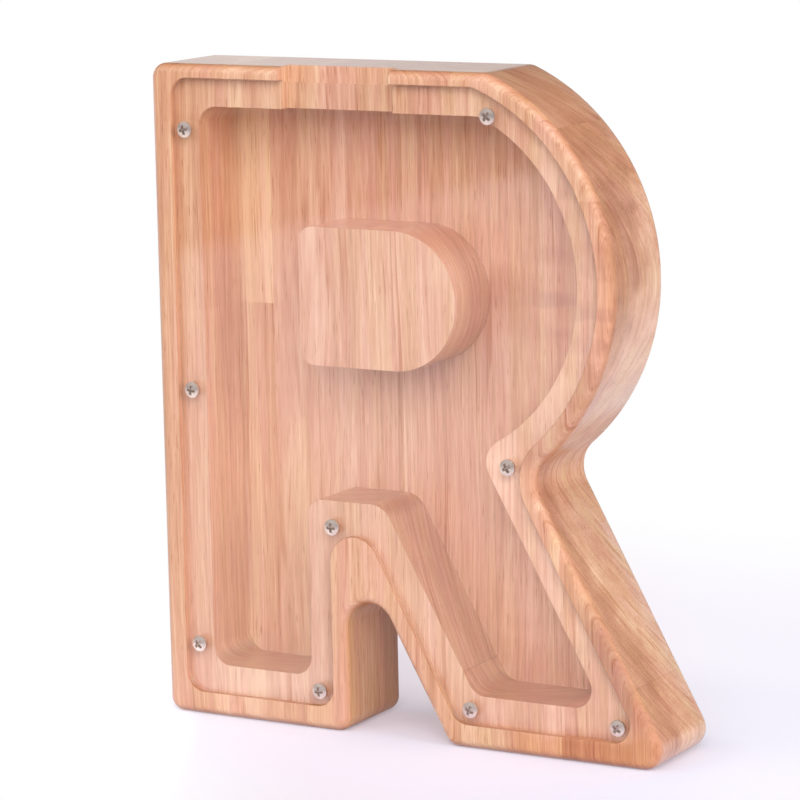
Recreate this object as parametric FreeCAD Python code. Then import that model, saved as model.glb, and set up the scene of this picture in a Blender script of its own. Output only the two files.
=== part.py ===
import FreeCAD, Part
import math
import os

from FreeCAD import Vector

# The whole box, in millimetres. The letter stands upright and its front looks towards -Y.
box_width = 185.5
box_height = 220.0
box_depth = 36.0

# The letter's strokes: an upright stem, a leaning leg and a round bowl. The toe of the leg stands out
# past the bowl, and the top edge cuts off the highest part of the bowl's circle.
stem_width = 70.8
leg_width = 71.5
leg_lean_degrees = 28.8
toe_reach = 14.7
bowl_radius = 72.6
bowl_cut = 5.4

# Rounding of the outer outline and of its front and back edges.
corner_radius = 5.0
toe_radius = 7.0
arch_radius = 8.5
notch_radius = 10.5
crown_radius = 6.0
edge_round = 3.0

# Rim of wood that stands around the clear cover.
side_rim = 8.0
top_rim = 4.5
bowl_rim = 5.7
stem_rim = 5.4
leg_rim = 6.9
recess_corner_radius = 6.5
recess_arch_radius = 9.2

# Ledge that the cover lies on, and the hollow for the coins behind it.
ledge_depth = 3.5
ledge_width = 9.5
bowl_ledge_width = 8.3
floor_thickness = 9.5
shelf_width = 11.1
hollow_corner_radius = 6.5
shelf_corner_radius = 5.5
boss_radius = 8.0

# Island that stands in the hollow as the letter's eye, left of the bowl's centre and below it.
island_length = 58.4
island_shift = 8.0
island_drop = 7.6
island_radius = 22.9
island_corner_radius = 5.0

# Coin slot milled across the front of the top rail.
slot_from_left = 49.6
slot_width = 41.6
slot_depth = 7.9

# Clear cover.
cover_thickness = 3.0
cover_gap = 0.3
seat_gap = 0.05

# Pan-head screws with a cross recess.
head_radius = 2.7
head_height = 1.7
head_wall = 0.7
shank_radius = 1.1
shank_length = 12.0
tip_length = 2.0
screw_hole_gap = 0.3
pilot_gap = 0.05
pilot_spare = 1.0
cross_length = 3.0
cross_width = 0.8
cross_depth = 1.0

# Places of the screws, from the sides of the recess that they stand next to.
screw_inset = 5.2
heel_screw_inset = 6.9
crown_screw_inset = 6.0
crown_screw_degrees = 61.7
head_screw_drop = 17.1
side_screw_height = 111.4
stem_screw_rise = 16.6
notch_screw_back = 6.9
notch_screw_rise = 1.5
crotch_screw_shift = 1.0
crotch_screw_drop = 8.4
screw_turn_degrees = 38.0

# Staves of the glued block: their widths, how far the centre stave reaches past the leg's heel, and
# the end joints in the left stave and above the middle of the bowl.
left_stave_width = 30.3
inner_stave_width = 24.7
heel_lap = 4.8
bowl_stave_width = 20.3
toe_stave_width = 9.5
left_end_joint = 138.0
bowl_end_joint_rise = 28.2

# Sizes that follow from those above.
leg_lean = math.radians(leg_lean_degrees)
leg_foot_right = box_width - toe_radius + toe_radius * (1 + math.sin(leg_lean)) / math.cos(leg_lean)
leg_foot_left = leg_foot_right - leg_width / math.cos(leg_lean)
bowl_reach = box_width - toe_reach
bowl_centre_from_left = bowl_reach - bowl_radius
bowl_centre_height = box_height + bowl_cut - bowl_radius
island_centre_from_left = bowl_centre_from_left - island_shift
island_centre_height = bowl_centre_height - island_drop
island_from_left = island_centre_from_left + island_radius - island_length
floor_depth = box_depth - floor_thickness
cover_back = ledge_depth - seat_gap
cover_front = cover_back - cover_thickness
head_seat = cover_front - seat_gap
head_proud = head_height - head_seat
front = (head_proud - box_depth) / 2
spare = 5.0
close = 0.001


def place(x, depth, z):
    """Point in the part's frame, from a distance off the left side, off the front face and a height."""
    return Vector(x - box_width / 2, front + depth, z)


def bowl_point(radius, angle_degrees):
    """Distance off the left side and height of a point on a circle about the bowl's centre."""
    angle = math.radians(angle_degrees)
    x = bowl_centre_from_left + radius * math.cos(angle)
    return x, bowl_centre_height + radius * math.sin(angle)


def leg_line(foot, z):
    """Distance off the left side of a line along the leg that starts at a foot on the ground."""
    return foot - z * math.tan(leg_lean)


def notch_point(foot, radius):
    """Corner where the leg's right line runs into the lower part of the bowl."""
    along = Vector(-math.sin(leg_lean), 0, math.cos(leg_lean))
    to_centre = Vector(bowl_centre_from_left - foot, 0, bowl_centre_height)
    middle = to_centre.dot(along)
    off_line = to_centre.Length ** 2 - middle ** 2
    reach = middle - math.sqrt(radius ** 2 - off_line)
    return foot + reach * along.x, reach * along.z


def letter_corners(side, top_width, stem_side, leg_side, bowl_side, shelf=None):
    """Sharp corners of the letter, moved in from the outer outline by a width at each side."""
    top = box_height - top_width
    stem_right = stem_width - stem_side
    heel_foot = leg_foot_left + leg_side / math.cos(leg_lean)
    toe_foot = leg_foot_right - bowl_side / math.cos(leg_lean)
    radius = bowl_radius - bowl_side
    crown_reach = math.sqrt(radius ** 2 - (top - bowl_centre_height) ** 2)
    corners = {"stem_left": (side, side), "stem_right": (stem_right, side)}
    if shelf is None:
        crotch_height = (heel_foot - stem_right) / math.tan(leg_lean)
        corners["crotch"] = (stem_right, crotch_height)
    else:
        corners["shelf_left"] = (stem_right, shelf)
        corners["shelf_right"] = (leg_line(heel_foot, shelf), shelf)
    corners["heel"] = (leg_line(heel_foot, side), side)
    corners["toe"] = (leg_line(toe_foot, side), side)
    corners["notch"] = notch_point(toe_foot, radius)
    corners["crown"] = (bowl_centre_from_left + crown_reach, top)
    corners["head_left"] = (side, top)
    return corners


def shelf_height():
    """Height of the shelf of wood above the arch: the top of the recess there and the shelf's width."""
    crotch_height = letter_corners(side_rim, top_rim, stem_rim, leg_rim, bowl_rim)["crotch"][1]
    return crotch_height - recess_arch_radius * (1 / math.tan(leg_lean / 2) - 1) + shelf_width


def prism(edges, depth_from, depth_to):
    """Solid with the given outline, from one depth behind the front face to another."""
    face = Part.Face(Part.Wire(edges))
    return face.extrude(Vector(0, depth_to - depth_from, 0))


def letter_prism(corners, bowl_side, depth_from, depth_to):
    """Letter-shaped solid with sharp corners and the round bowl."""
    names = list(corners)
    edges = []
    for name, following in zip(names, names[1:] + names[:1]):
        start = place(corners[name][0], depth_from, corners[name][1])
        end = place(corners[following][0], depth_from, corners[following][1])
        if name == "notch":
            x, z = bowl_point(bowl_radius - bowl_side, 0)
            edges.append(Part.Arc(start, place(x, depth_from, z), end).toShape())
        else:
            edges.append(Part.makeLine(start, end))
    return prism(edges, depth_from, depth_to)


def upright_edge(solid, corner):
    """Edge of a solid that runs from front to back at a corner of its outline."""
    target = place(corner[0], 0, corner[1])
    for edge in solid.Edges:
        ends = edge.Vertexes
        near = [abs(v.X - target.x) < close and abs(v.Z - target.z) < close for v in ends]
        if len(ends) == 2 and all(near):
            return edge
    raise ValueError("no edge at this corner")


def round_corners(solid, corners, radii):
    """Solid with each named corner of its outline rounded."""
    for name, radius in radii.items():
        edge = upright_edge(solid, corners[name])
        solid = solid.makeFillet(radius, [edge])
    return solid


def flat_edges(solid, depth):
    """Edges of a solid that lie in the plane at one depth behind the front face."""
    y = front + depth
    found = []
    for edge in solid.Edges:
        box = edge.BoundBox
        if abs(box.YMin - y) < close and abs(box.YMax - y) < close:
            found.append(edge)
    return found


def rounded_block():
    """Letter-shaped block with rounded corners and rounded front and back edges."""
    corners = letter_corners(0, 0, 0, 0, 0)
    block = letter_prism(corners, 0, 0, box_depth)
    radii = {
        "stem_left": corner_radius,
        "stem_right": corner_radius,
        "crotch": arch_radius,
        "heel": corner_radius,
        "toe": toe_radius,
        "notch": notch_radius,
        "crown": crown_radius,
        "head_left": corner_radius,
    }
    block = round_corners(block, corners, radii)
    return block.makeFillet(edge_round, flat_edges(block, 0) + flat_edges(block, box_depth))


def recess(gap, depth_from, depth_to):
    """Letter-shaped solid that fills the recess inside the rim, drawn in by a gap all round."""
    bowl_side = bowl_rim + gap
    corners = letter_corners(side_rim + gap, top_rim + gap, stem_rim + gap, leg_rim + gap, bowl_side)
    solid = letter_prism(corners, bowl_side, depth_from, depth_to)
    radii = {
        "stem_left": recess_corner_radius - gap,
        "stem_right": recess_corner_radius - gap,
        "crotch": recess_arch_radius + gap,
        "heel": recess_corner_radius - gap,
        "toe": recess_corner_radius - gap,
        "notch": notch_radius + bowl_side,
        "crown": crown_radius - gap,
        "head_left": recess_corner_radius - gap,
    }
    return round_corners(solid, corners, radii)


def island():
    """D-shaped island, from the ledge's level down to the floor."""
    low = island_centre_height - island_radius
    high = island_centre_height + island_radius
    low_left = place(island_from_left, ledge_depth, low)
    low_right = place(island_centre_from_left, ledge_depth, low)
    nose = place(island_centre_from_left + island_radius, ledge_depth, island_centre_height)
    high_right = place(island_centre_from_left, ledge_depth, high)
    high_left = place(island_from_left, ledge_depth, high)
    edges = [
        Part.makeLine(low_left, low_right),
        Part.Arc(low_right, nose, high_right).toShape(),
        Part.makeLine(high_right, high_left),
        Part.makeLine(high_left, low_left),
    ]
    corners = {"low": (island_from_left, low), "high": (island_from_left, high)}
    solid = prism(edges, ledge_depth, floor_depth)
    return round_corners(solid, corners, {"low": island_corner_radius, "high": island_corner_radius})


def hollow():
    """Space for the coins, with the island left standing in it."""
    side = side_rim + ledge_width
    bowl_side = bowl_rim + bowl_ledge_width
    top_width = top_rim + ledge_width
    stem_side = stem_rim + ledge_width
    corners = letter_corners(side, top_width, stem_side, leg_rim + ledge_width, bowl_side, shelf_height())
    solid = letter_prism(corners, bowl_side, ledge_depth, floor_depth)
    radii = {
        "stem_left": hollow_corner_radius,
        "stem_right": hollow_corner_radius,
        "shelf_left": shelf_corner_radius,
        "shelf_right": boss_radius,
        "heel": hollow_corner_radius,
        "toe": hollow_corner_radius,
        "notch": boss_radius,
        "crown": boss_radius,
        "head_left": hollow_corner_radius,
    }
    return round_corners(solid, corners, radii).cut(island())


def coin_slot():
    """Groove from the top face down into the hollow, open to the front of the rim."""
    low = box_height - top_rim - ledge_width - spare
    corner = place(slot_from_left, -spare, low)
    return Part.makeBox(slot_width, slot_depth + spare, box_height + spare - low, corner)


def screw_places():
    """Name of each screw, with its distance off the left side and its height."""
    side = side_rim + screw_inset
    high = box_height - top_rim - head_screw_drop
    stem_right = stem_width - stem_rim
    heel_foot = leg_foot_left + (leg_rim + heel_screw_inset) / math.cos(leg_lean)
    toe_foot = leg_foot_right - (bowl_rim + screw_inset) / math.cos(leg_lean)
    notch_x, notch_z = notch_point(leg_foot_right, bowl_radius)
    return {
        "screw_head_left": (side, high),
        "screw_crown": bowl_point(bowl_radius - bowl_rim - crown_screw_inset, crown_screw_degrees),
        "screw_side": (side, side_screw_height),
        "screw_notch": (notch_x - notch_screw_back, notch_z + notch_screw_rise),
        "screw_crotch": (stem_right + crotch_screw_shift, shelf_height() - crotch_screw_drop),
        "screw_stem_left": (side, side_rim + stem_screw_rise),
        "screw_stem_right": (stem_right - screw_inset, side),
        "screw_heel": (leg_line(heel_foot, side), side),
        "screw_toe": (leg_line(toe_foot, side), side),
    }


def rod(x, z, radius, depth_from, depth_to):
    """Round bar that runs from front to back."""
    return Part.makeCylinder(radius, depth_to - depth_from, place(x, depth_from, z), Vector(0, 1, 0))


def wooden_letter(places):
    """The finished wood before it is parted into staves."""
    wood = rounded_block()
    wood = wood.cut(recess(0, -spare, ledge_depth))
    wood = wood.cut(hollow())
    wood = wood.cut(coin_slot())
    pilot_end = head_seat + shank_length + pilot_spare
    for x, z in places.values():
        wood = wood.cut(rod(x, z, shank_radius + pilot_gap, ledge_depth - close, pilot_end))
    return wood


def stave(wood, x_from, x_to, z_from, z_to):
    """Part of the wood between two upright joints and two heights."""
    corner = place(x_from, -spare, z_from)
    slab = Part.makeBox(x_to - x_from, box_depth + 2 * spare, z_to - z_from, corner)
    return wood.common(slab).Solids[0]


def staves(wood):
    """Every stave of the glued block, by name."""
    left = -spare
    right = box_width + spare
    low = -spare
    high = box_height + spare
    left_joint = left_stave_width
    stem_joint = left_joint + inner_stave_width
    arch_joint = stem_joint + inner_stave_width
    centre_joint = leg_foot_left + heel_lap
    bowl_joint = bowl_reach - bowl_stave_width
    bowl_end_joint = bowl_centre_height + bowl_end_joint_rise
    toe_joint = box_width - toe_stave_width
    notch_height = notch_point(leg_foot_right, bowl_radius)[1]
    return {
        "stave_left_upper": stave(wood, left, left_joint, left_end_joint, high),
        "stave_left_lower": stave(wood, left, left_joint, low, left_end_joint),
        "stave_stem": stave(wood, left_joint, stem_joint, low, high),
        "stave_arch": stave(wood, stem_joint, arch_joint, low, high),
        "stave_centre": stave(wood, arch_joint, centre_joint, low, high),
        "stave_bowl_inner": stave(wood, centre_joint, bowl_joint, low, high),
        "stave_bowl_upper": stave(wood, bowl_joint, right, bowl_end_joint, high),
        "stave_bowl_lower": stave(wood, bowl_joint, right, notch_height, bowl_end_joint),
        "stave_leg": stave(wood, bowl_joint, toe_joint, low, notch_height),
        "stave_toe": stave(wood, toe_joint, right, low, notch_height),
    }


def cover(places):
    """Clear cover that lies on the ledge and on the island."""
    panel = recess(cover_gap, cover_front, cover_back)
    for x, z in places.values():
        panel = panel.cut(rod(x, z, shank_radius + screw_hole_gap, cover_front - spare, cover_back + spare))
    return panel


def screw_profile(x, z):
    """Half of a screw's section, from the middle of the head to the point."""
    def at(radius, depth):
        return place(x + radius, depth, z)

    head_top = head_seat - head_height
    shoulder = head_seat - head_wall
    dome_height = head_height - head_wall
    dome_radius = (head_radius ** 2 + dome_height ** 2) / (2 * dome_height)
    halfway = head_radius / 2
    halfway_depth = head_top + dome_radius - math.sqrt(dome_radius ** 2 - halfway ** 2)
    shank_end = head_seat + shank_length
    edges = [
        Part.Arc(at(0, head_top), at(halfway, halfway_depth), at(head_radius, shoulder)).toShape(),
        Part.makeLine(at(head_radius, shoulder), at(head_radius, head_seat)),
        Part.makeLine(at(head_radius, head_seat), at(shank_radius, head_seat)),
        Part.makeLine(at(shank_radius, head_seat), at(shank_radius, shank_end - tip_length)),
        Part.makeLine(at(shank_radius, shank_end - tip_length), at(0, shank_end)),
        Part.makeLine(at(0, shank_end), at(0, head_top)),
    ]
    return Part.Face(Part.Wire(edges))


def cross_recess(x, z, turn):
    """Cross-shaped pocket for the driver, turned about the screw's axis."""
    head_top = head_seat - head_height
    axis = place(x, head_top, z)
    bars = []
    for length, height in ((cross_length, cross_width), (cross_width, cross_length)):
        corner = place(x - length / 2, head_top - spare, z - height / 2)
        bars.append(Part.makeBox(length, spare + cross_depth, height, corner))
    cross = bars[0].fuse(bars[1])
    cross.rotate(axis, Vector(0, 1, 0), turn)
    return cross


def screw(x, z, turn):
    """Pan-head screw with a cross recess and a pointed plain shank."""
    body = screw_profile(x, z).revolve(place(x, 0, z), Vector(0, 1, 0), 360)
    return body.cut(cross_recess(x, z, turn)).Solids[0]


def build():
    """All pieces of the box, by node name."""
    places = screw_places()
    pieces = staves(wooden_letter(places))
    pieces["cover"] = cover(places).Solids[0]
    for number, (name, (x, z)) in enumerate(places.items()):
        pieces[name] = screw(x, z, screw_turn_degrees * number)
    return pieces


os.makedirs("parts", exist_ok=True)
for node, shape in build().items():
    shape.exportStep("parts/" + node + ".step")
    print(node, "volume", round(shape.Volume, 1), "solids", len(shape.Solids), "valid", shape.isValid())
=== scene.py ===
# %% [markdown]
# A wooden money box, dressed for its picture
#
# The box is a thick letter that was cut from a panel of glued staves. A routed hollow holds the coins, a
# clear cover lies in a recess in front of it, and small screws hold the cover down. The solids arrive with
# every piece at its real size and place, in metres. This lesson gives them grain, varnish, polish and
# light.

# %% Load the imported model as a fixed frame
import math

import bpy
import numpy as np
from mathutils import Matrix, Vector


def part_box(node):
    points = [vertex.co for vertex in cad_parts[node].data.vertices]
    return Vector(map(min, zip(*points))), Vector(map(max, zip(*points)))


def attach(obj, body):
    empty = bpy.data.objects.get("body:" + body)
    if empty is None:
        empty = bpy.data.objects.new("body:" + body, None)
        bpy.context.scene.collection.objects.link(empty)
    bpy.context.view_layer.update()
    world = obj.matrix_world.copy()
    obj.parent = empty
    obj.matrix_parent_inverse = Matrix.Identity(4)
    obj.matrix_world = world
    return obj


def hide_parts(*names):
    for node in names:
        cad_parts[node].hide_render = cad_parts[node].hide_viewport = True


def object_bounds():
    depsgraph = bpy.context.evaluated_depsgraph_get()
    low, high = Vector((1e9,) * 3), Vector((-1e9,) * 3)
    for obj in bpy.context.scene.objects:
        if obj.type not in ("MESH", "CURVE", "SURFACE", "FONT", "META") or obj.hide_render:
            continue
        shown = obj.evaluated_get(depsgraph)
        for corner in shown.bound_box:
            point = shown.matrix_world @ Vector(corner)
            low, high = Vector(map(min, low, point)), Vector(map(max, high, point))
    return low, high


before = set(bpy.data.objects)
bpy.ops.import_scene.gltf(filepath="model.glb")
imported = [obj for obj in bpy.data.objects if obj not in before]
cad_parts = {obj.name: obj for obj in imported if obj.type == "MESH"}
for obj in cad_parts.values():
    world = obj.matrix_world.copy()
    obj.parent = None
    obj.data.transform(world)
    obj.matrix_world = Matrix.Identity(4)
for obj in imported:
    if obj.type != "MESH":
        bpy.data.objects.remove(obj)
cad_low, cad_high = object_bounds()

mm = 0.001
print("nodes", len(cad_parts), "box in mm", [round(s / mm, 1) for s in cad_high - cad_low])

# %% [markdown]
# The camera
#
# A long lens from the front right, a little above the box, gives the calm outlines of a catalogue picture.
# The camera could be aimed with a constraint. Three plain angles are used instead, because they say what a
# photographer would say: how far round, how far down, and how much the camera is rolled.

# %% Camera
camera_place = Vector((0.6151, -1.0729, 0.3283))
camera_round = math.radians(30.21)
camera_down = math.radians(9.97)
camera_roll = math.radians(-1.18)
camera_lens = 172.9


def camera_axes():
    """Right, up and backward axes: turn about the vertical, tilt down, then roll about the line of sight."""
    flat = math.cos(camera_down)
    forward = Vector((-math.sin(camera_round) * flat, math.cos(camera_round) * flat, -math.sin(camera_down)))
    level = Vector((math.cos(camera_round), math.sin(camera_round), 0))
    upright = level.cross(forward)
    right = math.cos(camera_roll) * level + math.sin(camera_roll) * upright
    return right, right.cross(forward), -forward


def add_object(name, data):
    """New object in the scene."""
    made = bpy.data.objects.new(name, data)
    bpy.context.scene.collection.objects.link(made)
    return made


camera_data = bpy.data.cameras.new("camera")
camera_data.lens = camera_lens
camera = add_object("camera", camera_data)
camera.matrix_world = Matrix.Translation(camera_place) @ Matrix(camera_axes()).transposed().to_4x4()
bpy.context.scene.camera = camera
bpy.context.scene.view_settings.view_transform = "Standard"
print("camera", [round(v, 3) for v in camera.location], "lens", camera_lens)

# %% [markdown]
# Small helpers for shader nodes
#
# Every finish below is a tree of nodes. Helpers that only add a node, set its options and fill its sockets
# with numbers, colours or other nodes' outputs keep each finish short enough to read as a recipe.

# %% Node helpers
plain_white = (1.0, 1.0, 1.0, 1.0)
plain_black = (0.0, 0.0, 0.0, 1.0)


def fill(tree, socket, value):
    """Put a plain value into a socket, or join another node's output to it."""
    if isinstance(value, bpy.types.NodeSocket):
        tree.links.new(value, socket)
    else:
        socket.default_value = value


def node(tree, kind, *values, **options):
    """Add a node, set its options and fill its inputs in order; None leaves an input as it is."""
    made = tree.nodes.new("ShaderNode" + kind)
    for name, option in options.items():
        setattr(made, name, option)
    for socket, value in zip(made.inputs, values):
        if value is not None:
            fill(tree, socket, value)
    return made


def named(tree, kind, values, **options):
    """Add a node, set its options and fill its inputs by name; returns its outputs."""
    made = node(tree, kind, **options)
    for label, value in values.items():
        fill(tree, made.inputs[label], value)
    return made.outputs


def calc(tree, operation, *values):
    """Result of a sum on plain numbers."""
    return node(tree, "Math", *values, operation=operation).outputs[0]


def vector_calc(tree, operation, *values):
    """Result of a sum on vectors."""
    return node(tree, "VectorMath", *values, operation=operation).outputs[0]


def noise(tree, point, stretch, detail, warp=0.0):
    """Cloudy value about one half; stretch is the size of its patches along X, Y and Z, warp bends them."""
    made = node(tree, "TexNoise", vector_calc(tree, "DIVIDE", point, stretch), None, 1.0, detail)
    made.inputs["Distortion"].default_value = warp
    return made.outputs[0]


def between(tree, value, low, high):
    """Smooth step: 0 up to the low value, 1 from the high value on."""
    made = node(tree, "MapRange", value, low, high, 0.0, 1.0, interpolation_type="SMOOTHSTEP")
    return made.outputs[0]


def mix(tree, share, first, second):
    """Number between two numbers: the first where the share is 0, the second where it is 1."""
    return node(tree, "MapRange", share, 0.0, 1.0, first, second).outputs[0]


def times(tree, first, second):
    """Product of two numbers."""
    return calc(tree, "MULTIPLY", first, second)


def add_times(tree, first, second, start):
    """Product of two numbers, added to a start."""
    return calc(tree, "MULTIPLY_ADD", first, second, start)


def rest(tree, share):
    """What a share leaves: one less the share."""
    return calc(tree, "SUBTRACT", 1.0, share)


def centred(tree, cloud):
    """Cloudy value less one half, so that it lifts as often as it lowers."""
    return calc(tree, "SUBTRACT", cloud, 0.5)


def blend(tree, share, first, second, kind="MIX"):
    """Colour between two colours, or their product or sum for other kinds of blend."""
    made = node(tree, "Mix", share, data_type="RGBA", blend_type=kind)
    sockets = [s for s in made.inputs if s.type == "RGBA"]
    for socket, colour in zip(sockets, (first, second)):
        fill(tree, socket, colour)
    return [s for s in made.outputs if s.type == "RGBA"][0]


def bumped(tree, height, strength, distance, normal=None):
    """Normal tilted by the slope of a height; it starts from another normal where one is given."""
    values = {"Strength": strength, "Distance": distance, "Height": height}
    if normal is not None:
        values["Normal"] = normal
    return named(tree, "Bump", values)[0]


def new_group(name, inputs, outputs):
    """Empty shader node group: its tree, and its sockets by name."""
    tree = bpy.data.node_groups.new(name, "ShaderNodeTree")
    for label, kind in inputs.items():
        tree.interface.new_socket(label, in_out="INPUT", socket_type="NodeSocket" + kind)
    for label, kind in outputs.items():
        tree.interface.new_socket(label, in_out="OUTPUT", socket_type="NodeSocket" + kind)
    return tree, tree.nodes.new("NodeGroupInput").outputs, tree.nodes.new("NodeGroupOutput").inputs


def use_group(tree, group, values):
    """Place a node group in a material and fill its sockets by name; returns its outputs."""
    return named(tree, "Group", values, node_tree=group)


def new_material(name):
    """Material with an empty tree: the material, its tree and the surface socket to fill."""
    material = bpy.data.materials.new(name)
    material.use_nodes = True
    tree = material.node_tree
    tree.nodes.clear()
    return material, tree, tree.nodes.new("ShaderNodeOutputMaterial").inputs["Surface"]


def principled(tree, values):
    """Output of a principled shader with sockets filled by name."""
    return named(tree, "BsdfPrincipled", values)[0]


def millimetres(tree):
    """The point on the piece in millimetres, in the box's own frame."""
    place = node(tree, "TexCoord").outputs["Object"]
    return vector_calc(tree, "MULTIPLY", place, (1 / mm, 1 / mm, 1 / mm))


print("node helpers ready")

# %% [markdown]
# The white room
#
# The box stands in a white room with soft lamps in front. A backdrop could be modelled, but the world does
# its work and never stands in the way of another view. It is plain white for the camera. As a source of
# light it is brighter in front than behind, which darkens the far side of each edge and of the arch. In
# mirrors it is white low down behind, weaker there on the right, and dim in front below the lamps, where
# the room would be.

# %% World
front_light = 0.78
back_light = 0.15
white_level = 1.0
lamp_level = 0.7
room_level = 0.14
dim_level = 0.45
front_to_back = (-0.5, 0.5)
lamp_rise = (0.05, 0.45)
dim_right = (-0.58, -0.33)


def make_world():
    """White for the eye; for light a blend from front to back; for mirrors backdrop, lamps and room."""
    world = bpy.data.worlds.new("white studio")
    world.use_nodes = True
    tree = world.node_tree
    tree.nodes.clear()
    path = node(tree, "LightPath").outputs
    heading = node(tree, "SeparateXYZ", node(tree, "TexCoord").outputs["Generated"]).outputs
    behind = between(tree, heading["Y"], *front_to_back)
    above = between(tree, heading["Z"], *lamp_rise)
    front = mix(tree, above, room_level, lamp_level)
    backdrop = mix(tree, between(tree, heading["X"], *dim_right), white_level, dim_level)
    mirrored = mix(tree, behind, front, mix(tree, above, backdrop, room_level))
    lit = mix(tree, behind, front_light, back_light)
    in_mirror = calc(tree, "MAXIMUM", path["Is Glossy Ray"], path["Is Transmission Ray"])
    level = mix(tree, path["Is Camera Ray"], mix(tree, in_mirror, lit, mirrored), white_level)
    shade = node(tree, "Background", plain_white, level).outputs[0]
    tree.links.new(shade, node(tree, "OutputWorld").inputs["Surface"])
    return world


bpy.context.scene.world = make_world()
print("light in front", front_light, "behind", back_light)

# %% [markdown]
# The white sheet
#
# The box stands on a white sheet. Lamps alone could hardly keep it white and still show a soft shadow, so
# the sheet also glows: plain white far from the box, weaker and faintly tinted near it, where the lamps add
# the rest if no shadow falls, and a little weaker still at the feet, a painted contact shadow. Behind the
# box and to its left the glow is raised, a painted light that lifts the box's shadow there. For mirrors it
# ends in front at a straight edge with a notch, whose mirror image is the level line across the clear cover.

# %% Colour and glow of the sheet
rose_tint = (0.945, 0.85, 0.9, 1.0)
lilac_tint = (0.945, 0.915, 0.99, 1.0)
violet_tint = (0.95, 0.92, 1.0, 1.0)
rose_reach = (-0.1, -0.03)
lilac_reach = (0.02, 0.12)
tint_reach = (0.14, 0.34)
lamp_slant = 0.7
lamp_reach = (0.06, 0.36)
near_glow = (0.27, 0.36)
beside_reach = (0.04, 0.12)
# To the left of the box the glow is raised, a painted light that lifts the shadow there.
left_glow = 0.85
left_reach = (-0.1, -0.075)
dim_reach = (0.2, 0.5)
# At the feet the glow is weaker, a painted contact shadow.
contact_shadow_glow = 0.9
contact_shadow_reach = 0.014


def sheet_tint(tree, place, away, sideways, in_mirror):
    """Colour of the glow: rose, lilac to the right, white far off, and violet under the lamps in mirrors."""
    tint = blend(tree, between(tree, sideways, *rose_reach), plain_white, rose_tint)
    tint = blend(tree, between(tree, sideways, *lilac_reach), tint, lilac_tint)
    tint = blend(tree, between(tree, away, *tint_reach), tint, plain_white)
    nearness = calc(tree, "SUBTRACT", times(tree, place["X"], lamp_slant), place["Y"])
    under_lamps = times(tree, between(tree, nearness, *lamp_reach), in_mirror)
    return blend(tree, under_lamps, tint, violet_tint)


def sheet_glow(tree, place, away, sideways, far, in_mirror):
    """Glow: weak near the box, raised on its left as painted light, least at its feet as a painted contact
    shadow, white far off, dim on the right in mirrors.
    """
    beside = between(tree, calc(tree, "ABSOLUTE", sideways), *beside_reach)
    near = mix(tree, between(tree, sideways, *left_reach), left_glow, mix(tree, beside, *near_glow))
    dim = times(tree, between(tree, place["X"], *dim_reach), in_mirror)
    level = mix(tree, far, near, mix(tree, dim, white_level, dim_level))
    contact = node(tree, "MapRange", away, 0.0, contact_shadow_reach, contact_shadow_glow, 1.0).outputs[0]
    return times(tree, level, contact)


print("glow near the box", near_glow)

# %% Floor
floor_reach = 4.0
front_edge = (-1.75, -1.55)
notch_edge = (-1.05, -0.95)
notch_side = (-0.77, -0.68)
shaded_white = (0.74, 0.74, 0.87, 1.0)
bounced_white = (0.7, 0.69, 0.7, 1.0)
shade_reach = (0.018, 0.115)
# Behind the box the glow is raised, a painted light that lifts the box's shadow there.
glow_behind = 0.55
behind_reach = (-0.01, 0.06)


def make_sheet():
    """For the eye and for mirrors a glow plus a shaded white; for other light a plain dull white."""
    material, tree, surface = new_material("white sheet")
    path = node(tree, "LightPath").outputs
    seen = calc(tree, "MAXIMUM", path["Is Camera Ray"], path["Is Glossy Ray"])
    seen = calc(tree, "MAXIMUM", seen, path["Is Transmission Ray"])
    in_mirror = rest(tree, path["Is Camera Ray"])
    point = node(tree, "TexCoord").outputs["Object"]
    place = node(tree, "SeparateXYZ", point).outputs
    sideways = node(tree, "VectorMath", point, camera_axes()[0], operation="DOT_PRODUCT").outputs["Value"]
    outside = vector_calc(tree, "SUBTRACT", vector_calc(tree, "ABSOLUTE", point), (cad_high.x, cad_high.y, 0))
    outside = vector_calc(tree, "MAXIMUM", outside, (0, 0, 0))
    away = node(tree, "VectorMath", outside, operation="LENGTH").outputs["Value"]
    back = times(tree, between(tree, place["Y"], *behind_reach), glow_behind)
    far = calc(tree, "MAXIMUM", between(tree, away, *shade_reach), back)
    edge = between(tree, place["X"], *notch_side)
    edge = calc(tree, "MAXIMUM", between(tree, place["Y"], *notch_edge), edge)
    edge = times(tree, edge, between(tree, place["Y"], *front_edge))
    edge = calc(tree, "MAXIMUM", edge, path["Is Camera Ray"])
    tint = sheet_tint(tree, place, away, sideways, in_mirror)
    level = times(tree, sheet_glow(tree, place, away, sideways, far, in_mirror), edge)
    shaded = node(tree, "BsdfDiffuse", blend(tree, far, shaded_white, plain_black)).outputs[0]
    bright = node(tree, "AddShader", shaded, node(tree, "Emission", tint, level).outputs[0]).outputs[0]
    dull = node(tree, "BsdfDiffuse", bounced_white).outputs[0]
    tree.links.new(node(tree, "MixShader", seen, dull, bright).outputs[0], surface)
    return material


def make_floor():
    """One level face under the box, from the sheet's front edge to its reach behind and on both sides."""
    corners = [(-floor_reach, front_edge[0], 0), (floor_reach, front_edge[0], 0)]
    corners += [(floor_reach, floor_reach, 0), (-floor_reach, floor_reach, 0)]
    mesh = bpy.data.meshes.new("floor")
    mesh.from_pydata(corners, [], [(0, 1, 2, 3)])
    mesh.materials.append(make_sheet())
    sheet = add_object("floor", mesh)


make_floor()
print("floor from", front_edge[0], "to", floor_reach)

# %% [markdown]
# The lamps
#
# Three square soft lamps stand as in a small studio: a strong one in front on the right, a weak one on the
# left that fills the shadows, and one at the right that brightens the bowl's round side. A lamp mirrored in
# varnish shows as a hard square, so these are left out of mirrors.

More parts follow.
